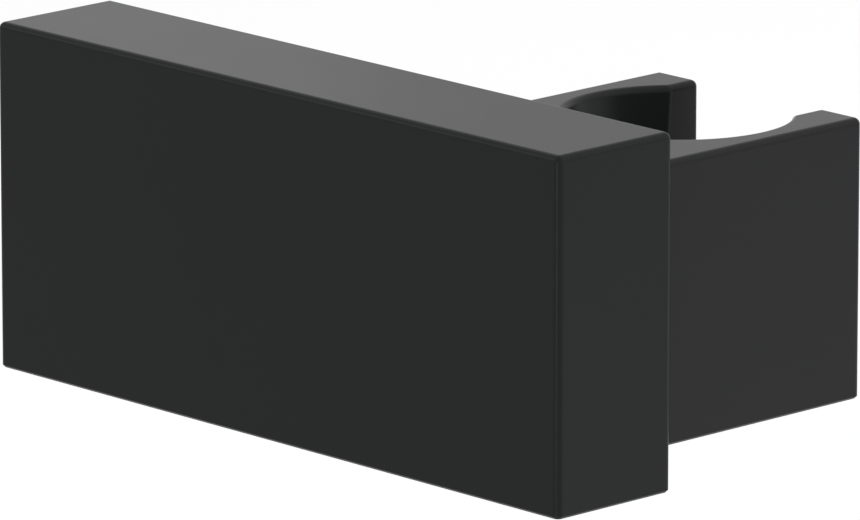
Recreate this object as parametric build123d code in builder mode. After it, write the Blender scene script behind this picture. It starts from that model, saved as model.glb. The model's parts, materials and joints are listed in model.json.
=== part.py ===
"""Hand shower holder: an arm that stands out of the wall and carries a slotted, tilting cradle on its side.

The origin is the middle of the arm's wall end. The wall is the plane y = 0, the arm runs out of it along -Y,
the cradle is on the +X side and +Z is up. All sizes are in millimetres.
"""

import os

from build123d import *

# Arm: a cast block, cored from its wall end
arm_length = 81.5
arm_height = 36.0
arm_thickness = 15.4
edge_radius = 0.7
arm_foot_chamfer = 0.25
arm_wall = 2.6
core_depth = 40.0
core_corner = 1.5

# Cradle: a moulded block with a tapered seat, open on the side away from the arm and cored from below
cradle_width = 28.5
cradle_height = 28.6
cradle_reach = 29.0
cradle_gap = 0.3
front_margin = 2.65
cradle_edge_radius = 0.7
cradle_foot_chamfer = 0.25
seat_offset = 17.4
seat_radius = 11.35
throat_radius = 10.4
throat_length = 8.0
slot_width = 17.1
lip_radius = 0.6
cradle_wall = 2.4
pocket_roof = 3.0
pocket_corner = 0.6

# Pivot: a shoulder screw with a sprung washer under its head and a plastic washer at the arm
shoulder_radius = 3.0
pivot_thread_radius = 2.5
pivot_thread_length = 9.0
pivot_head_radius = 5.2
pivot_head_thickness = 2.1
pivot_key = 3.0
pivot_key_depth = 1.5
spring_radius = 6.2
spring_thickness = 0.5
spring_rise = 0.25
washer_radius = 8.0
washer_thickness = 1.0
web_thickness = 2.4

# Tilt stop: a dowel in the arm and a curved groove in the back of the cradle
tilt_limit = 45.0
pin_circle = 11.0
pin_radius = 1.25
pin_grip = 6.0
pin_reach = 2.0

# Wall fixing: a channel screwed to the wall, and a grub screw that locks the arm on it
bracket_base = 3.2
bracket_flange = 2.4
bracket_depth = 13.0
bracket_bend = 1.0
wall_screw_spacing = 16.0
wall_screw_hole_radius = 2.25
wall_screw_head_radius = 4.3
grub_radius = 2.0
grub_length = 4.0
grub_recess = 0.3
grub_setback = 8.0
grub_tip_radius = 0.4
grub_key = 2.0
grub_key_depth = 1.8

# Clearances, each on one side
running_clearance = 0.05
thread_clearance = 0.05
slip_clearance = 0.15
groove_clearance = 0.2
spring_clearance = 0.3
screw_chamfer = 0.3

# Places that follow from the sizes
arm_side = arm_thickness / 2
arm_under = -arm_height / 2
pivot_y = front_margin + cradle_width / 2 - arm_length
core_width = arm_thickness - 2 * arm_wall
core_height = arm_height - 2 * arm_wall
spring_seat = washer_thickness + web_thickness
head_seat = spring_seat + spring_thickness + spring_rise
bracket_width = core_width - 2 * slip_clearance
bracket_height = core_height - 2 * slip_clearance
groove_depth = pin_reach - cradle_gap + groove_clearance
pocket_start = cradle_gap + groove_depth + cradle_wall
pocket_inside = spring_radius + spring_clearance + cradle_wall
pocket_outside = cradle_width / 2 - cradle_wall
grub_foot = arm_under + grub_recess
grub_bite = grub_foot + grub_length + bracket_height / 2

# The cradle's plan has its local x out of the arm's side, and the seat's section has it out of the seat's axis
cradle_plan = Plane(origin=(arm_side, pivot_y, -cradle_height / 2))
seat_axis = Axis((arm_side + seat_offset, pivot_y, 0), (0, 0, 1))
seat_section = Plane(origin=seat_axis.position, x_dir=(1, 0, 0), z_dir=(0, -1, 0))

# The pivot's axis points out of the arm's side, and its plane has +Y as local x and +Z as local y
pivot_axis = Axis((arm_side, pivot_y, 0), (1, 0, 0))
pivot_plane = Plane(origin=(arm_side, pivot_y, 0), x_dir=(0, 1, 0), z_dir=(1, 0, 0))
pivot_section = Plane(origin=(arm_side, pivot_y, 0))
grub_axis = Axis((0, -grub_setback, 0), (0, 0, 1))
grub_section = Plane.XZ.offset(grub_setback)

# Arm
with BuildPart() as arm:
    with BuildSketch(Plane.XZ):
        Rectangle(arm_thickness, arm_height)
    extrude(amount=arm_length)
    uprights = arm.edges().filter_by(Axis.Z)
    fillet(uprights + arm.faces().sort_by(Axis.Z)[-1].edges(), radius=edge_radius)
    chamfer(arm.faces().sort_by(Axis.Z)[0].edges(), length=arm_foot_chamfer)
    with BuildSketch(Plane.XZ):
        RectangleRounded(core_width, core_height, core_corner)
    extrude(amount=core_depth, mode=Mode.SUBTRACT)
    with Locations(pivot_plane):
        Hole(pivot_thread_radius + thread_clearance, depth=pivot_thread_length + thread_clearance)
        with Locations((pin_circle, 0)):
            Hole(pin_radius, depth=pin_grip)
    with Locations(Plane(origin=(0, -grub_setback, arm_under), z_dir=(0, 0, -1))):
        Hole(grub_radius + thread_clearance, depth=arm_wall)

# Cradle
with BuildPart() as cradle:
    with BuildSketch(cradle_plan):
        with Locations((cradle_gap, 0)):
            Rectangle(cradle_reach - cradle_gap, cradle_width, align=(Align.MIN, Align.CENTER))
        with Locations((seat_offset, 0)):
            Rectangle(cradle_reach, slot_width, align=(Align.MIN, Align.CENTER), mode=Mode.SUBTRACT)
    extrude(amount=cradle_height)
    uprights = cradle.edges().filter_by(Axis.Z).sort_by(Axis.X)
    fillet(uprights[:2] + uprights[-4:], radius=cradle_edge_radius)
    with BuildSketch(seat_section):
        with BuildLine():
            Polyline(
                (0, -cradle_height / 2),
                (throat_radius, -cradle_height / 2),
                (throat_radius, -cradle_height / 2 + throat_length),
                (seat_radius, cradle_height / 2),
                (0, cradle_height / 2),
                close=True,
            )
        make_face()
    revolve(axis=seat_axis, mode=Mode.SUBTRACT)
    slot_walls = cradle.faces().filter_by(Axis.Y).sort_by(lambda wall: abs(wall.center().Y - pivot_y))
    for wall in slot_walls[:2]:
        fillet(wall.edges().sort_by(Axis.X)[:2], radius=lip_radius)
    fillet(cradle.faces().sort_by(Axis.Z)[-1].edges(), radius=cradle_edge_radius)
    chamfer(cradle.faces().sort_by(Axis.Z)[0].edges(), length=cradle_foot_chamfer)
    with BuildSketch(cradle_plan) as pockets:
        with GridLocations(1, pocket_inside + pocket_outside, 1, 2):
            with Locations((pocket_start, 0)):
                Rectangle(
                    seat_offset - pocket_start,
                    pocket_outside - pocket_inside,
                    align=(Align.MIN, Align.CENTER),
                )
        with Locations((seat_offset, 0)):
            Circle(seat_radius + cradle_wall, mode=Mode.SUBTRACT)
        fillet(pockets.vertices(), radius=pocket_corner)
    extrude(amount=cradle_height - pocket_roof, mode=Mode.SUBTRACT)
    with Locations(pivot_plane):
        Hole(washer_radius + slip_clearance, depth=washer_thickness)
        Hole(shoulder_radius + running_clearance, depth=spring_seat)
    with BuildSketch(pivot_plane.offset(cradle_gap)):
        with BuildLine(mode=Mode.PRIVATE) as pin_path:
            CenterArc((0, 0), pin_circle, -tilt_limit, 2 * tilt_limit)
        SlotArc(pin_path.edge(), height=2 * (pin_radius + groove_clearance))
    extrude(amount=groove_depth, mode=Mode.SUBTRACT)
    with BuildSketch(pivot_plane.offset(spring_seat)):
        Circle(spring_radius + spring_clearance)
    extrude(amount=seat_offset - spring_seat, mode=Mode.SUBTRACT)

# Friction washer
with BuildPart() as friction_washer:
    with BuildSketch(pivot_plane):
        Circle(washer_radius)
        Circle(shoulder_radius + running_clearance, mode=Mode.SUBTRACT)
    extrude(amount=washer_thickness)

# Disc spring: a coned ring that bears on the cradle at its rim and on the screw's head at its hole
with BuildPart() as disc_spring:
    with BuildSketch(pivot_section):
        with BuildLine():
            Polyline(
                (spring_seat, spring_radius),
                (spring_seat + spring_thickness, spring_radius),
                (head_seat, shoulder_radius + running_clearance),
                (head_seat - spring_thickness, shoulder_radius + running_clearance),
                close=True,
            )
        make_face()
    revolve(axis=pivot_axis)

# Pivot screw
with BuildPart() as pivot_screw:
    with BuildSketch(pivot_plane.offset(-pivot_thread_length)):
        Circle(pivot_thread_radius)
    extrude(amount=pivot_thread_length)
    chamfer(pivot_screw.edges().sort_by(Axis.X)[0], length=screw_chamfer)
    with BuildSketch(pivot_plane):
        Circle(shoulder_radius)
    extrude(amount=head_seat)
    with BuildSketch(pivot_plane.offset(head_seat)):
        Circle(pivot_head_radius)
    extrude(amount=pivot_head_thickness)
    chamfer(pivot_screw.edges().sort_by(Axis.X)[-1], length=screw_chamfer)
    with BuildSketch(pivot_plane.offset(head_seat + pivot_head_thickness)):
        RegularPolygon(pivot_key / 2, side_count=6, major_radius=False)
    extrude(amount=-pivot_key_depth, mode=Mode.SUBTRACT)

# Stop pin
with BuildPart() as stop_pin:
    with BuildSketch(pivot_plane.offset(-pin_grip)):
        with Locations((pin_circle, 0)):
            Circle(pin_radius)
    extrude(amount=pin_grip + pin_reach)
    chamfer(stop_pin.edges().sort_by(Axis.X)[-1], length=screw_chamfer)

# Wall bracket
with BuildPart() as wall_bracket:
    with BuildSketch(Plane.XZ):
        RectangleRounded(bracket_width, bracket_height, core_corner)
    extrude(amount=bracket_depth)
    with BuildSketch(Plane.YZ.offset(-bracket_width / 2)):
        with Locations((-bracket_base, 0)):
            Rectangle(
                bracket_depth,
                bracket_height - 2 * bracket_flange,
                align=(Align.MAX, Align.CENTER),
            )
    extrude(amount=bracket_width, mode=Mode.SUBTRACT)
    bends = wall_bracket.edges().filter_by(Axis.X).group_by(Axis.Y)[-2]
    fillet(bends, radius=bracket_bend)
    with Locations(Plane.XZ.offset(bracket_base)):
        with GridLocations(bracket_width, wall_screw_spacing, 1, 2):
            CounterSinkHole(wall_screw_hole_radius, wall_screw_head_radius)
    with BuildSketch(grub_section):
        with BuildLine():
            Polyline(
                (0, -bracket_height / 2),
                (grub_tip_radius + grub_bite + thread_clearance, -bracket_height / 2),
                (grub_tip_radius + thread_clearance, -bracket_height / 2 + grub_bite + thread_clearance),
                (0, -bracket_height / 2 + grub_bite + thread_clearance),
                close=True,
            )
        make_face()
    revolve(axis=grub_axis, mode=Mode.SUBTRACT)

# Grub screw, with a cone point that bites in the bracket's lower flange
with BuildPart() as grub_screw:
    with BuildSketch(grub_section):
        with BuildLine():
            Polyline(
                (0, grub_foot),
                (grub_radius, grub_foot),
                (grub_radius, grub_foot + grub_length - grub_radius + grub_tip_radius),
                (grub_tip_radius, grub_foot + grub_length),
                (0, grub_foot + grub_length),
                close=True,
            )
        make_face()
    revolve(axis=grub_axis)
    chamfer(grub_screw.edges().sort_by(Axis.Z)[0], length=screw_chamfer)
    with BuildSketch(Plane(origin=(0, -grub_setback, grub_foot))):
        RegularPolygon(grub_key / 2, side_count=6, major_radius=False)
    extrude(amount=grub_key_depth, mode=Mode.SUBTRACT)

arm.part.label = "arm"
cradle.part.label = "cradle"
friction_washer.part.label = "friction_washer"
disc_spring.part.label = "disc_spring"
pivot_screw.part.label = "pivot_screw"
stop_pin.part.label = "stop_pin"
wall_bracket.part.label = "wall_bracket"
grub_screw.part.label = "grub_screw"

os.makedirs("parts", exist_ok=True)
export_step(arm.part, "parts/arm.step")
export_step(cradle.part, "parts/cradle.step")
export_step(friction_washer.part, "parts/friction_washer.step")
export_step(disc_spring.part, "parts/disc_spring.step")
export_step(pivot_screw.part, "parts/pivot_screw.step")
export_step(stop_pin.part, "parts/stop_pin.step")
export_step(wall_bracket.part, "parts/wall_bracket.step")
export_step(grub_screw.part, "parts/grub_screw.step")
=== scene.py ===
# %% [markdown]
# # A hand shower holder in matt black
#
# The holder is a slim block that stands out of the wall, with a slotted cradle on its side. Its solids come
# from the CAD model, which is loaded first and never moved. Blender adds what CAD leaves out: the finishes,
# the cut threads of the screws, the light and the camera. Everything is in metres, so a size in millimetres
# is written as a number times MM.

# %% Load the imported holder
import json
from math import cos, pi, radians, sin, sqrt, tan

import bmesh
import bpy
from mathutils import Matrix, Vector


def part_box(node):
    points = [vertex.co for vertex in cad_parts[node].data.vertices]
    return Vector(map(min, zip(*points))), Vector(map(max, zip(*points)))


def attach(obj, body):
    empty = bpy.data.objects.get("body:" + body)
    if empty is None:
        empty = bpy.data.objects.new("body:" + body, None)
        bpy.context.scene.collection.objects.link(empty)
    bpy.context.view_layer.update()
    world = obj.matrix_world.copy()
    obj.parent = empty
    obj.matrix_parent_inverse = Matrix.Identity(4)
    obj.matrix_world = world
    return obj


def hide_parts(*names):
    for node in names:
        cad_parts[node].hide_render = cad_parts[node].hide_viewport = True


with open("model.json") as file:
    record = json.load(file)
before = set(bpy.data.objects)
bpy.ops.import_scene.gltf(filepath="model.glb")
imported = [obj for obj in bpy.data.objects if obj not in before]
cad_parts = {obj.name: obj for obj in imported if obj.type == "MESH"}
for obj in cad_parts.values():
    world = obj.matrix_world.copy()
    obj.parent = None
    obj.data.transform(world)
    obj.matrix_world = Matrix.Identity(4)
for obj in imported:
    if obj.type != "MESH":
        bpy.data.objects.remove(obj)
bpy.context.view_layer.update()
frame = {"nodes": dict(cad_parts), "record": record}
MM = 0.001
for name in sorted(frame["nodes"]):
    low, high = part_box(name)
    print("CAD node", name, [round((b - a) / MM, 2) for a, b in zip(low, high)], "mm")

# %% [markdown]
# ## The camera
#
# The photograph looks at the free end of the arm from its left and from a little above, through a long lens:
# parallel edges hardly run together. The direction is given as a turn about the vertical and a rise above
# the horizon, which is easier to read than three rotation angles. The camera is then pointed by tracking:
# its own Z axis points away from what it sees. Blender counts a lens and its sensor in millimetres.

# %% The camera
view_turn = radians(-43.491)
view_rise = radians(13.981)
view_distance = 995.7 * MM
view_aim = Vector((-12.211, -68.388, 6.302)) * MM
lens_mm = 432.69
sensor_mm = 36
to_camera = Vector((sin(view_turn) * cos(view_rise), -cos(view_turn) * cos(view_rise), sin(view_rise)))

bpy.ops.object.select_all(action="DESELECT")
bpy.ops.object.camera_add(location=view_aim + to_camera * view_distance)
camera = bpy.context.object
camera.name = "photo_camera"
camera.rotation_euler = to_camera.to_track_quat("Z", "Y").to_euler()
camera.data.sensor_width = sensor_mm
camera.data.lens = lens_mm
bpy.context.scene.camera = camera
bpy.context.scene.view_settings.view_transform = "Standard"
print("camera at", [round(c, 3) for c in camera.location], "lens", lens_mm, "mm")

# %% [markdown]
# ## Shader nodes as sums
#
# A material is a tree of nodes. Adding them one by one hides the idea behind a finish, so one small class
# holds a socket and knows how to add, subtract and multiply: each sign adds one Math node. Every other node
# comes from the method `node`, which takes its type, its settings and what goes into its sockets. A Mix node
# has sockets for numbers, vectors and colours, so `blend` asks for the ones for colours by their number.

# %% A wire in a node tree
class Wire:
    """An output socket in a node tree. A wire without a socket is a place to start from."""

    def __init__(self, tree, socket=None):
        self.tree = tree
        self.socket = socket

    def node(self, kind, settings=None, sockets=None, out=0):
        """Adds a node, sets it up, fills or links its inputs and gives the wire from one of its outputs."""
        made = self.tree.nodes.new(kind)
        for name, value in (settings or {}).items():
            setattr(made, name, value)
        for name, value in (sockets or {}).items():
            if isinstance(value, Wire):
                self.tree.links.new(value.socket, made.inputs[name])
            else:
                made.inputs[name].default_value = value
        return Wire(self.tree, made.outputs[out] if made.outputs else None)

    def maths(self, operation, first, second):
        return self.node("ShaderNodeMath", {"operation": operation}, {0: first, 1: second})

    def __add__(self, other):
        return self.maths("ADD", self, other)

    def __sub__(self, other):
        return self.maths("SUBTRACT", self, other)

    def __rsub__(self, other):
        return self.maths("SUBTRACT", other, self)

    def __mul__(self, other):
        return self.maths("MULTIPLY", self, other)

    __radd__ = __add__
    __rmul__ = __mul__


def blend(first, second, share):
    """A colour between two colours."""
    colour_in, other_colour_in, colour_out = 6, 7, 2
    return share.node(
        "ShaderNodeMix",
        {"data_type": "RGBA"},
        {"Factor": share, colour_in: first, other_colour_in: second},
        out=colour_out,
    )


# %% [markdown]
# ## Floor and surroundings
#
# The photograph is a cut-out on white, with no shadow. The holder belongs on a wall, so the floor lies well
# below it, and its soft shadow falls outside the frame. White comes from the material and not from more
# light: where the camera or a reflection looks at the floor, half of what it sees is a plain white of
# strength 1, and the other half is matt paint, which keeps the shadow.

# %% The floor
floor_height = -150 * MM
floor_radius = 6.0
floor_white = 0.5
floor_colour = (0.98, 0.98, 0.98, 1)
pure_white = (1, 1, 1, 1)

bpy.ops.object.select_all(action="DESELECT")
bpy.ops.mesh.primitive_circle_add(
    vertices=96, radius=floor_radius, fill_type="NGON", location=(0, 0, floor_height)
)
floor = bpy.context.object
floor.name = "floor"


def seen_directly(bench):
    """1 on rays from the camera, in a reflection or through glass, and 0 on rays that only give light."""
    rays = ["Is Camera Ray", "Is Glossy Ray", "Is Transmission Ray"]
    by_camera, by_gloss, by_glass = [bench.node("ShaderNodeLightPath", out=ray) for ray in rays]
    return by_camera + by_gloss + by_glass


floor_paint = bpy.data.materials.new("floor_paint")
floor_paint.use_nodes = True
floor_paint.node_tree.nodes.clear()
bench = Wire(floor_paint.node_tree)
matt = bench.node("ShaderNodeBsdfDiffuse", sockets={"Color": floor_colour})
glow = bench.node("ShaderNodeEmission", sockets={"Color": pure_white, "Strength": 1})
mixed = bench.node(
    "ShaderNodeMixShader", sockets={"Fac": seen_directly(bench) * floor_white, 1: matt, 2: glow}
)
bench.node("ShaderNodeOutputMaterial", sockets={"Surface": mixed})
floor.data.materials.append(floor_paint)
print("floor at", floor_height / MM, "mm")

# %% [markdown]
# ## The sky
#
# To the camera and in reflections the sky is the same plain white. To a matt surface it is an overcast day,
# brightest overhead and dimmer towards the horizon, so that upright faces stay darker than flat tops.

# %% The sky
horizon_light = 0.35
zenith_light = 1.0
sky = bpy.data.worlds.new("sky")
sky.use_nodes = True
sky.node_tree.nodes.clear()
bench = Wire(sky.node_tree)
direction = bench.node("ShaderNodeTexCoord", out="Generated")
rise = bench.node("ShaderNodeSeparateXYZ", sockets={0: direction}, out="Z")
shade = bench.node(
    "ShaderNodeMapRange",
    sockets={"Value": rise, "From Min": 0, "From Max": 1, "To Min": horizon_light, "To Max": zenith_light},
)
seen = seen_directly(bench)
strength = shade * (1 - seen) + seen
light = bench.node("ShaderNodeBackground", sockets={"Color": pure_white, "Strength": strength})
bench.node("ShaderNodeOutputWorld", sockets={"Surface": light})
bpy.context.scene.world = sky
print("sky from", zenith_light, "overhead to", horizon_light, "at the horizon")

# %% [markdown]
# ## Soft lights
#
# A black block shows little but reflections, so each lamp is a soft box whose place decides what it
# brightens. The key box, high in front on the right, lights the faces but is not mirrored in them: a
# mirrored lamp would make a face brighter than its rounded edges. The card on the floor is mirrored low in
# the end of the arm and in the cradle's side, and the screen above it in the rounded edges over them. Of the
# two lamps at the back, the right one is mirrored in the flat tops and the left one in the long rounded edge
# of the arm. The strip on the left draws a thin line on the arm's upright edge. A lamp's power is its
# brightness times pi times its area.

# %% Soft boxes
def soft_box(name, place, aim, size, brightness, mirrored=True, lights=True):
    """A lamp of a width and height in metres that faces its aim and that the camera doesn't see."""
    width, height = size
    bpy.ops.object.select_all(action="DESELECT")
    bpy.ops.object.light_add(type="AREA", location=place)
    lamp = bpy.context.object
    lamp.name = name
    lamp.rotation_euler = (Vector(place) - Vector(aim)).to_track_quat("Z", "Y").to_euler()
    lamp.data.shape = "RECTANGLE"
    lamp.data.size = width
    lamp.data.size_y = height
    lamp.data.energy = brightness * pi * width * height
    lamp.visible_camera = False
    lamp.visible_glossy = mirrored
    lamp.visible_diffuse = lights
    print(name, "gives", round(lamp.data.energy, 2), "W")


middle = (0.01, -0.05, 0)
wall_end = (0, 0, 0.02)
card = (0.26, -0.33, floor_height + 5 * MM)
over_card = (0.26, -0.33, 0.1)
soft_box("key_box", (0.52, -1.07, 1.26), middle, size=(1.6, 1.2), brightness=2.37, mirrored=False)
soft_box("front_right_card", card, over_card, size=(0.36, 0.3), brightness=0.6)
soft_box(
    "front_right_screen", (0.606, -0.679, 0.5), middle, size=(0.73, 0.54), brightness=0.45, lights=False
)
soft_box("back_right_box", (0.170, 0.252, 0.093), wall_end, size=(0.16, 0.12), brightness=0.26)
soft_box("back_left_strip", (-0.93, 1.0, 0.66), middle, size=(1.0, 0.32), brightness=2.2)
soft_box("left_strip", (-0.47, -0.217, -0.07), middle, size=(0.10, 0.2), brightness=6.5, lights=False)

# %% [markdown]
# ## Helpers for the finishes
#
# No real finish is one flat colour: it drifts a little, and it has a grain of a certain width. Pictures of
# surfaces could show that, but they need files and an unwrapped mesh. Noise needs neither. It is measured
# in the object's own metres, so a grain is as wide as it is written, and it stays on the piece when the
# piece moves.

# %% Helpers for the finishes
def finish(name):
    """A new material, its Principled shader, and a wire to build on."""
    made = bpy.data.materials.new(name)
    made.use_nodes = True
    shader = made.node_tree.nodes["Principled BSDF"]
    return made, shader, Wire(made.node_tree)


def link(wire, shader, socket):
    wire.tree.links.new(wire.socket, shader.inputs[socket])


def object_place(bench, centre=(0, 0, 0), stretch=(1, 1, 1)):
    """Object coordinates measured from a centre, and squeezed or drawn out along the axes."""
    place = bench.node("ShaderNodeTexCoord", out="Object")
    offset = [-c * s for c, s in zip(centre, stretch)]
    return bench.node("ShaderNodeMapping", sockets={"Vector": place, "Location": offset, "Scale": stretch})


def noise(place, width, detail=2.0):
    """Noise from 0 to 1 whose grains are about as wide as given, in metres."""
    return place.node("ShaderNodeTexNoise", sockets={"Vector": place, "Scale": 1 / width, "Detail": detail})


def swing(pattern, reach):
    """A pattern of 0 to 1 made to swing about nothing, by half of its reach each way."""
    return reach * (pattern - 0.5)


def bump(height, depth):
    """A normal from a height of 0 to 1 that stands for a depth in metres."""
    return height.node("ShaderNodeBump", sockets={"Height": height, "Strength": 1.0, "Distance": depth})


# %% [markdown]
# ## Black powder coat
#
# The arm is cast metal with a baked powder coat. From arm's length it is an even black, but the powder
# leaves a fine grain and a slow waviness known as orange peel. Both are far too small to model, so they are
# noise in the bump and the roughness.

# %% Black powder coat
powder_coat, shader, bench = finish("black_powder_coat")
coat_dark = (0.0128, 0.0141, 0.0135, 1)
coat_light = (0.0138, 0.0151, 0.0145, 1)
place = object_place(bench)
peel = noise(place, 1.1 * MM)
grain = noise(place, 0.16 * MM, detail=1.0)
drift = noise(place, 14 * MM, detail=3.0)
shader.inputs["Specular IOR Level"].default_value = 0.074
link(blend(coat_dark, coat_light, drift), shader, "Base Color")
link(0.30 + swing(grain, 0.03) + swing(drift, 0.03), shader, "Roughness")
link(bump(0.7 * peel + 0.3 * grain, depth=0.002 * MM), shader, "Normal")
print("made", powder_coat.name)

# %% [markdown]
# ## Where the seat and the slot are
#
# The cradle's seat and slot were shaped by polished cores in the mould, so they are a little smoother than
# its outside, and the slot's walls are darkened with painted shade. Each face could have a material of its
# own, but a CAD node's mesh is left alone, so masks in one material find the places instead. One mask finds
# the seat by the distance from its axis, which the record gives as a mount, less what the seat's taper adds
# with the height. Another finds the slot by how far a point lies from its middle.

# %% Where the seat and the slot are
seat = next(m for m in frame["record"]["mounts"] if m["name"] == "handle_seat")
seat_reach = 10.99 * MM
seat_taper = 0.046
seat_blur = 0.3 * MM
slot_reach = 8.8 * MM
slot_blur = 0.2 * MM
# Between these two distances from the seat's axis, the painted shade in the slot fades out.
shade_fade_start = 11.6 * MM
shade_fade_end = 14.5 * MM


def ramp(value, nothing, all_of_it):
    """A mask that goes from 0 to 1 between two values."""
    return value.node(
        "ShaderNodeMapRange", sockets={"Value": value, "From Min": nothing, "From Max": all_of_it}
    )


moulded_black, shader, bench = finish("black_moulding")
place = object_place(bench)
around_seat = object_place(bench, seat["pos_m"], (1, 1, 0))
from_axis = bench.node("ShaderNodeVectorMath", {"operation": "LENGTH"}, {0: around_seat}, out="Value")
height = bench.node("ShaderNodeSeparateXYZ", sockets={0: place}, out="Z")
in_seat = ramp(from_axis - seat_taper * height, seat_reach, seat_reach - seat_blur)
forward, sideways = [bench.node("ShaderNodeSeparateXYZ", sockets={0: around_seat}, out=a) for a in "XY"]
from_middle = bench.maths("ABSOLUTE", sideways, 0)
in_slot = ramp(from_middle, slot_reach, slot_reach - slot_blur) * ramp(forward, 0, seat_blur)
in_opening = bench.maths("MAXIMUM", in_seat, in_slot)
# Painted shade in the slot: deepest at the seat, fading out towards the slot's end.
painted_shade_fade = ramp(from_axis, shade_fade_start, shade_fade_end)
print("seat and slot found about", [round(c / MM, 2) for c in seat["pos_m"]], "mm")

# %% [markdown]
# ## Black moulded plastic
#
# The cradle's mould was spark eroded to the same dullness as the coat, with a finer grain. In the seat and
# the slot the plastic is smoother, and the slot's walls get painted shade, deepest where they meet the seat.
# So the colour is laid on in three layers: the outside, the slot's painted shade over it, and the seat over
# both.

# %% Black moulded plastic
eroded_dark = (0.0113, 0.0119, 0.0116, 1)
eroded_light = (0.0123, 0.0129, 0.0126, 1)
# Painted shade for the slot's walls: near black by the seat, less dark towards the slot's end.
painted_shade_deep = (0.0018, 0.0020, 0.0019, 1)
painted_shade_pale = (0.0088, 0.0094, 0.0091, 1)
seat_black = (0.0112, 0.0126, 0.0119, 1)
erosion = noise(place, 0.11 * MM, detail=1.0)
drift = noise(place, 9 * MM, detail=2.0)
shader.inputs["Specular IOR Level"].default_value = 0.112
outside = blend(eroded_dark, eroded_light, drift)
# Painted shade: the slot's walls are laid darker over the outside colour.
with_slot_shade = blend(outside, blend(painted_shade_deep, painted_shade_pale, painted_shade_fade), in_slot)
link(blend(with_slot_shade, seat_black, in_seat), shader, "Base Color")
link(0.31 + swing(erosion, 0.03) + swing(drift, 0.02) - 0.03 * in_opening, shader, "Roughness")
link(bump(erosion * (1 - 0.7 * in_opening), depth=0.0015 * MM), shader, "Normal")
print("made", moulded_black.name)

# %% [markdown]
# ## Zinc plate
#
# The wall bracket is pressed from sheet and plated. Zinc is a pale, slightly blue metal, and the sheet's
# rolling marks show through it as fine lines along the sheet. Noise that is drawn out along one axis makes
# such lines, with no two of them alike.

# %% Zinc plate
zinc_plate, shader, bench = finish("zinc_plate")
zinc_blue = (0.52, 0.54, 0.57, 1)
zinc_grey = (0.60, 0.60, 0.59, 1)
along_sheet = (1, 1, 0.03)
rolled = noise(object_place(bench, stretch=along_sheet), 0.08 * MM)
clouds = noise(object_place(bench), 3.5 * MM, detail=3.0)
shader.inputs["Metallic"].default_value = 1.0
link(blend(zinc_blue, zinc_grey, clouds), shader, "Base Color")
link(0.30 + swing(rolled, 0.14) + swing(clouds, 0.10), shader, "Roughness")
link(bump(rolled, depth=0.0015 * MM), shader, "Normal")
print("made", zinc_plate.name)

# %% [markdown]
# ## Turned stainless steel
#
# Screws and pins are turned on a lathe. The tool leaves rings on a flat end and lines round a shank, and
# both follow one number: the distance from the axis plus the distance along it. One-dimensional noise on
# that number gives uneven rings, as a real tool does. Each piece has its own axis, so each gets its own
# material.

# %% Turned stainless steel
def turned_steel(name, centre, axis):
    """Stainless steel with lathe marks about an axis through a centre."""
    made, shader, bench = finish(name)
    steel_dark = (0.50, 0.49, 0.47, 1)
    steel_light = (0.58, 0.57, 0.55, 1)
    mark_width = 0.09 * MM
    across = [0.0 if letter == axis else 1.0 for letter in "XYZ"]
    along = [1.0 - flat for flat in across]
    flattened = object_place(bench, centre, across)
    radial = bench.node("ShaderNodeVectorMath", {"operation": "LENGTH"}, {0: flattened}, out="Value")
    axial = bench.node("ShaderNodeSeparateXYZ", sockets={0: object_place(bench, centre, along)}, out=axis)
    marks = bench.node(
        "ShaderNodeTexNoise",
        {"noise_dimensions": "1D"},
        {"W": radial + axial, "Scale": 1 / mark_width, "Detail": 2.0},
    )
    stain = noise(object_place(bench), 1.5 * MM, detail=3.0)
    shader.inputs["Metallic"].default_value = 1.0
    link(blend(steel_dark, steel_light, marks), shader, "Base Color")
    link(0.24 + swing(marks, 0.16) + swing(stain, 0.10), shader, "Roughness")
    link(bump(marks, depth=0.0012 * MM), shader, "Normal")
    print("made", name, "about", axis)
    return made


def box_centre(node):
    low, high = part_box(node)
    return (low + high) / 2


pivot_steel = turned_steel("turned_steel_pivot", box_centre("pivot_screw"), "X")
grub_steel = turned_steel("turned_steel_grub", box_centre("grub_screw"), "Z")
pin_steel = turned_steel("turned_steel_pin", box_centre("stop_pin"), "X")

# %% [markdown]
# ## Spring steel
#
# The disc spring is hardened and oiled, so it is darker than the screws, with brown and blue clouds from the
# furnace. One wide noise blends the two colours and shifts the roughness, because both come from the same
# skin of oxide. A finer noise is the scale on it.

# %% Spring steel
spring_steel, shader, bench = finish("spring_steel")
furnace_blue = (0.24, 0.24, 0.27, 1)
furnace_brown = (0.34, 0.31, 0.27, 1)
clouds = noise(object_place(bench), 2.2 * MM, detail=4.0)
scale = noise(object_place(bench), 0.25 * MM, detail=2.0)
shader.inputs["Metallic"].default_value = 1.0
link(blend(furnace_blue, furnace_brown, clouds), shader, "Base Color")
link(0.34 + swing(scale, 0.16) + swing(clouds, 0.10), shader, "Roughness")
link(bump(scale, depth=0.0015 * MM), shader, "Normal")
print("made", spring_steel.name)

# %% [markdown]
# ## Nylon
#
# The friction washer is punched from natural nylon: a milky off-white with a slight mottle and a dull skin.
# Light sinks a little into real nylon. The washer is thin and lies between two black parts, so a pale colour
# with a mottle looks the same and is simpler.

# %% Nylon
nylon, shader, bench = finish("natural_nylon")
nylon_cream = (0.75, 0.73, 0.66, 1)
nylon_pale = (0.82, 0.80, 0.75, 1)
mottle = noise(object_place(bench), 2.8 * MM, detail=3.0)
skin = noise(object_place(bench), 0.2 * MM, detail=2.0)
link(blend(nylon_cream, nylon_pale, mottle), shader, "Base Color")
link(0.46 + swing(skin, 0.10), shader, "Roughness")
link(bump(skin, depth=0.0025 * MM), shader, "Normal")
print("made", nylon.name)

# %% [markdown]
# ## Turning
#
# The two screws are plain cylinders in CAD, and here they get real threads and sockets. They are modelled
# upright on the world's Z axis, as on a lathe, and put in their place last. `turn` starts from a disc and
# draws it out ring by ring with extrude and resize. Spinning a profile would give the same body, but rings
# of height and radius read like a drawing.

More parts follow.
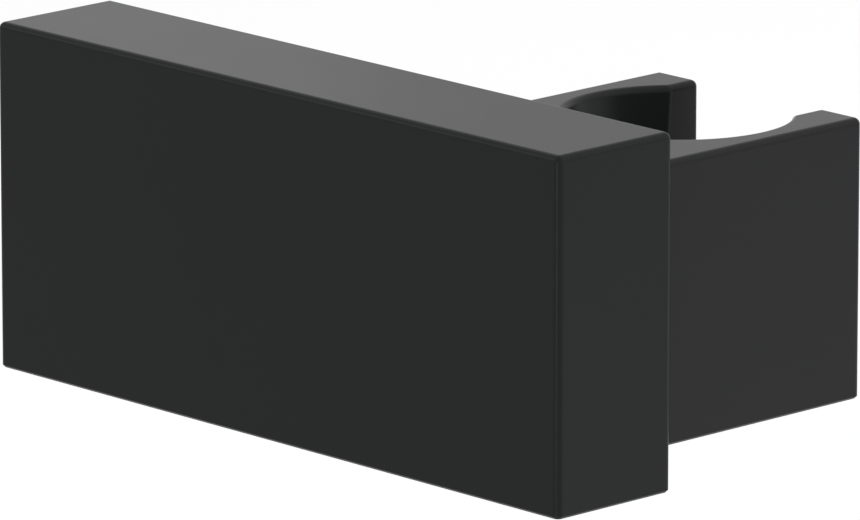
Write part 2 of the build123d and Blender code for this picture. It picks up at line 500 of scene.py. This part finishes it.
# %% Turning
def turn(name, rings, sides=72):
    """A turned body on the Z axis, from rings of height and radius in metres."""
    (height, radius), *steps = rings
    bpy.ops.object.select_all(action="DESELECT")
    bpy.ops.mesh.primitive_circle_add(vertices=sides, radius=radius, fill_type="NGON")
    body = bpy.context.object
    body.name = body.data.name = name
    bpy.ops.object.mode_set(mode="EDIT")
    bpy.ops.mesh.select_all(action="SELECT")
    bpy.ops.transform.translate(value=(0, 0, height))
    for next_height, next_radius in steps:
        rise = (0, 0, next_height - height)
        bpy.ops.mesh.extrude_region_move(TRANSFORM_OT_translate={"value": rise})
        ratio = next_radius / radius
        bpy.ops.transform.resize(value=(ratio, ratio, 1), center_override=(0, 0, next_height))
        height, radius = next_height, next_radius
    bpy.ops.mesh.select_all(action="SELECT")
    bpy.ops.mesh.normals_make_consistent(inside=False)
    bpy.ops.object.mode_set(mode="OBJECT")
    print("turned", name, "in", len(rings), "rings")
    return body


# %% [markdown]
# ## Cutting and picking
#
# Threads and sockets are cut out of a turned body, as a die and a broach cut them. `cut` does that with a
# Boolean modifier that is applied at once, so that the next cut finds a plain mesh. `pick` selects corners
# by their place, where a hand would click on them.

# %% Cutting and picking
def cut(body, tool):
    """Takes the tool out of the body, and the tool away."""
    bpy.ops.object.select_all(action="DESELECT")
    bpy.context.view_layer.objects.active = body
    body.select_set(True)
    taken = body.modifiers.new("cut", "BOOLEAN")
    taken.operation = "DIFFERENCE"
    taken.solver = "EXACT"
    taken.object = tool
    bpy.ops.object.modifier_apply(modifier=taken.name)
    bpy.data.objects.remove(tool, do_unlink=True)
    print("cut", body.name, "to", len(body.data.polygons), "faces")


def pick(piece, test):
    """Selects, in edit mode, the corners whose place passes a test."""
    mesh = bmesh.from_edit_mesh(piece.data)
    for corner in mesh.verts:
        corner.select_set(test(corner.co))
    mesh.select_flush(True)
    mesh.select_flush(False)
    bmesh.update_edit_mesh(piece.data)


# %% [markdown]
# ## The thread's cutter
#
# A thread is cut by a pointed tool that moves one pitch along for each turn. The Screw modifier does the
# same: it carries a profile round the Z axis and lifts it as it goes. Rings side by side would look much the
# same from afar, but they don't run out at the ends as a thread does. The profile is a plane turned upright,
# narrowed at its inner edge to the 60 degree form, and the flat crests are what the tool leaves between two
# turns. The cutter starts before the screw's end, as a die does.

# %% A thread's cutter
def thread_cutter(radius, pitch, screw_end, turns):
    """A helical cutter on the Z axis for a metric thread of that outer radius."""
    depth = 0.613 * pitch
    spare = 0.06 * pitch
    root_flat = pitch / 4
    half_angle = radians(30)
    for_crests = 0.93
    mouth = root_flat + 2 * (depth + spare) * tan(half_angle) * for_crests
    start = screw_end - 1.5 * pitch
    bpy.ops.object.select_all(action="DESELECT")
    bpy.ops.mesh.primitive_plane_add(size=1, rotation=(pi / 2, 0, 0))
    cutter = bpy.context.object
    bpy.ops.object.transform_apply(location=True, rotation=True, scale=True)
    bpy.ops.object.mode_set(mode="EDIT")
    bpy.ops.mesh.select_all(action="SELECT")
    bpy.ops.transform.resize(value=(depth + spare, 1, mouth), center_override=(0, 0, 0))
    pick(cutter, lambda place: place.x < 0)
    bpy.ops.transform.resize(value=(1, 1, root_flat / mouth), center_override=(0, 0, 0))
    bpy.ops.mesh.select_all(action="SELECT")
    bpy.ops.transform.translate(value=(radius - depth / 2 + spare / 2, 0, start))
    bpy.ops.mesh.delete(type="ONLY_FACE")
    bpy.ops.object.mode_set(mode="OBJECT")
    helix = cutter.modifiers.new("helix", "SCREW")
    helix.angle = 2 * pi
    helix.screw_offset = pitch
    helix.iterations = turns
    helix.steps = helix.render_steps = 48
    bpy.ops.object.modifier_apply(modifier=helix.name)
    bpy.ops.object.mode_set(mode="EDIT")
    bpy.ops.mesh.select_all(action="SELECT")
    bpy.ops.mesh.fill_holes(sides=4)
    bpy.ops.mesh.select_all(action="SELECT")
    bpy.ops.mesh.normals_make_consistent(inside=False)
    bpy.ops.object.mode_set(mode="OBJECT")
    print("thread cutter of", turns, "turns has", len(cutter.data.polygons), "faces")
    return cutter


# %% [markdown]
# ## The hexagon socket
#
# A socket is drilled, countersunk and then broached to a hexagon. The cutters are made the same way: a six
# sided prism whose far end is drawn to the drill's point, and a short cone for the countersink. Both start a
# little above the screw, because a Boolean needs shapes that cross and not faces that only touch.

# %% A socket's cutters
def corner_radius(key):
    """From the middle of a hexagon to its corners, for a key measured across its flats."""
    return key / sqrt(3)


def hexagon_cutter(key, mouth_height, depth):
    """A hexagon that goes down from the mouth and ends in a drill point."""
    drill_point = key * 0.25
    bpy.ops.object.select_all(action="DESELECT")
    bpy.ops.mesh.primitive_cylinder_add(
        vertices=6, radius=corner_radius(key), depth=2 * depth, location=(0, 0, mouth_height)
    )
    prism = bpy.context.object
    bpy.ops.object.transform_apply(location=True, rotation=True, scale=True)
    bpy.ops.object.mode_set(mode="EDIT")
    pick(prism, lambda place: place.z < mouth_height)
    bpy.ops.mesh.extrude_region_move(TRANSFORM_OT_translate={"value": (0, 0, -drill_point)})
    bpy.ops.mesh.merge(type="CENTER")
    bpy.ops.mesh.select_all(action="SELECT")
    bpy.ops.mesh.normals_make_consistent(inside=False)
    bpy.ops.object.mode_set(mode="OBJECT")
    return prism


def countersink_cutter(key, mouth_height):
    """A cone a little wider than the hexagon, which breaks the socket's edge."""
    wide = corner_radius(key) * 1.12
    spare = 0.2 * MM
    point = (mouth_height - wide, 0.02 * MM)
    mouth = (mouth_height + spare, wide + spare)
    return turn("countersink", [point, mouth], sides=48)


# %% [markdown]
# ## The pivot screw
#
# The cradle turns on a shoulder screw: a smooth shoulder inside the cradle, a thread in the arm, and a flat
# head in the back of the seat that is reached with a hexagon key. A groove under the shoulder lets the
# thread end. On the bench the shoulder's foot is at height 0. The rings below follow the CAD solid, whose
# box gives the screw's two ends and its head.

# %% The pivot screw
low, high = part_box("pivot_screw")
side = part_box("arm")[1].x
tip = low.x - side
top = high.x - side
tip_chamfer = 0.65 * MM
thread_radius = 2.5 * MM
pitch = 0.8 * MM
run_out = 0.3 * MM
relief_length = 1.2 * MM
relief_radius = 1.92 * MM
shoulder_radius = 3.0 * MM
shoulder_chamfer = 0.15 * MM
head_foot = top - 2.1 * MM
head_radius = (high.y - low.y) / 2
head_chamfer = 0.2 * MM
# The head's rounded rim, as millimetres below its top and in from its side.
head_rim = [(0.32, 0), (0.12, 0.06), (0.03, 0.16), (0, 0.34)]
key = 3.0 * MM
key_depth = 1.1 * MM

pivot_screw = turn(
    "pivot_screw_threaded",
    [
        (tip, thread_radius - tip_chamfer),
        (tip + tip_chamfer, thread_radius),
        (-relief_length - run_out, thread_radius),
        (-relief_length, relief_radius),
        (-shoulder_chamfer, relief_radius),
        (0, relief_radius + shoulder_chamfer),
        (0, shoulder_radius - shoulder_chamfer),
        (shoulder_chamfer, shoulder_radius),
        (head_foot, shoulder_radius),
        (head_foot, head_radius - head_chamfer),
        (head_foot + head_chamfer, head_radius),
        *[(top - down * MM, head_radius - inwards * MM) for down, inwards in head_rim],
    ],
)
cut(pivot_screw, thread_cutter(thread_radius, pitch, tip, turns=12))
cut(pivot_screw, hexagon_cutter(key, top, key_depth))
cut(pivot_screw, countersink_cutter(key, top))

# %% [markdown]
# ## Putting a screw in its place
#
# The finished screw is turned and moved as an object, and the move is then applied, so that its object stays
# at the origin and its place is in its mesh, as with every CAD node. Smooth shading by angle keeps the
# thread's flanks round and its edges crisp. The screw stands for its CAD node and rides on the arm.

# %% Set and finish the pivot screw
def set_in_place(piece, place, turned, node, steel):
    """Puts a screw where its CAD node is, and gives it its finish and its body."""
    crease = radians(28)
    bpy.ops.object.select_all(action="DESELECT")
    bpy.context.view_layer.objects.active = piece
    piece.select_set(True)
    piece.location = place
    piece.rotation_euler = turned
    bpy.ops.object.transform_apply(location=True, rotation=True, scale=True)
    bpy.ops.object.shade_smooth_by_angle(angle=crease)
    piece.data.materials.clear()
    piece.data.materials.append(steel)
    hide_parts(node)
    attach(piece, "arm")
    corners = [piece.matrix_world @ Vector(c) for c in piece.bound_box]
    least = [round(min(c[i] for c in corners) / MM, 2) for i in range(3)]
    most = [round(max(c[i] for c in corners) / MM, 2) for i in range(3)]
    print(piece.name, "from", least, "to", most, "mm,", len(piece.data.polygons), "faces")


set_in_place(
    pivot_screw,
    (side, (low.y + high.y) / 2, (low.z + high.z) / 2),
    (0, pi / 2, 0),
    "pivot_screw",
    pivot_steel,
)

# %% [markdown]
# ## The grub screw
#
# A headless screw in the arm's underside locks the arm on its bracket. It is threaded all along, with a
# socket at its foot and a cone point at its other end. On the bench it stands with the socket up, so it is
# turned over when it is put in its place.

# %% The grub screw
low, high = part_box("grub_screw")
grub_radius = (high.x - low.x) / 2
grub_length = high.z - low.z
cone_tip = 0.4 * MM
cone_height = grub_radius - cone_tip
grub_chamfer = 0.4 * MM
pitch = 0.7 * MM
key = 2.0 * MM
key_depth = 1.5 * MM

grub_screw = turn(
    "grub_screw_threaded",
    [
        (0, cone_tip),
        (cone_height, grub_radius),
        (grub_length - grub_chamfer, grub_radius),
        (grub_length, grub_radius - grub_chamfer),
    ],
)
cut(grub_screw, thread_cutter(grub_radius, pitch, screw_end=0, turns=9))
cut(grub_screw, hexagon_cutter(key, grub_length, key_depth))
cut(grub_screw, countersink_cutter(key, grub_length))
set_in_place(
    grub_screw,
    ((low.x + high.x) / 2, (low.y + high.y) / 2, high.z),
    (pi, 0, 0),
    "grub_screw",
    grub_steel,
)

# %% [markdown]
# ## Finishes on the CAD nodes
#
# The other solids keep their CAD shape and only change their material slots. The table below names the
# finish of each node that still shows. The two screws have theirs already.

# %% Finishes on the CAD nodes
finishes = {
    "arm": powder_coat,
    "cradle": moulded_black,
    "wall_bracket": zinc_plate,
    "disc_spring": spring_steel,
    "friction_washer": nylon,
    "stop_pin": pin_steel,
}
for node, material in finishes.items():
    for holder in frame["nodes"][node].material_slots:
        holder.material = material
    print(node, "has", material.name)
